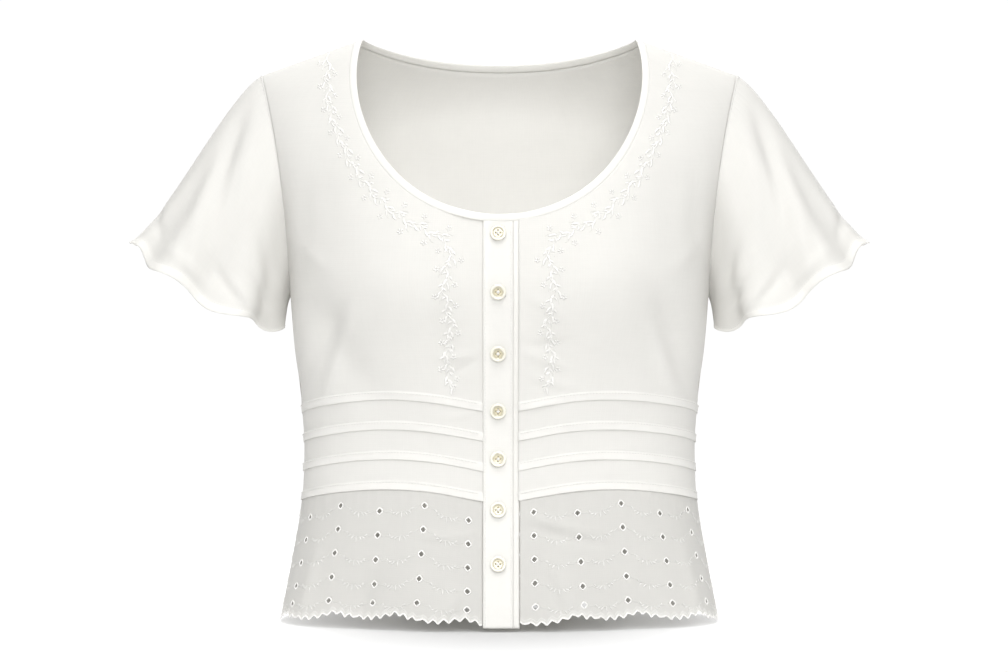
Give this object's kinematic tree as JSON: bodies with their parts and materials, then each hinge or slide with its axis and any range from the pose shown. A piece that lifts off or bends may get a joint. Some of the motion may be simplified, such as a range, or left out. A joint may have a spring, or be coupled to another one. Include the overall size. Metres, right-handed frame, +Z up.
{
  "type": "button-up blouse",
  "caption": "Short-sleeved blouse worn open and hollow, with a scooped bound neck, buttoned placket, waist tucks, flared sleeves and an eyelet lace hem.",
  "frame": {"origin": "midway between the middles of the two shoulder seams, where the wearer's shoulders carry the blouse", "axes": "+X towards the wearer's left sleeve, -Y towards the buttoned front, +Z up"},
  "size_m": [0.628, 0.2363, 0.4916],
  "materials": {
    "cotton": "fine plain weave, matt",
    "eyelet_lace": "thin eyelet lace, matt",
    "pearl_button": "polished, pearly"
  },
  "bodies": {
    "root": {"front_left": "cotton", "front_right": "cotton", "back": "cotton", "sleeve_left": "cotton", "sleeve_right": "cotton", "placket_over": "cotton", "placket_under": "cotton", "neck_binding": "cotton", "lace_front_left": "eyelet_lace", "lace_front_right": "eyelet_lace", "lace_back": "eyelet_lace", "button_1": "pearl_button", "button_2": "pearl_button", "button_3": "pearl_button", "button_4": "pearl_button", "button_5": "pearl_button", "button_6": "pearl_button", "button_7": "pearl_button"}
  },
  "joints": []
}
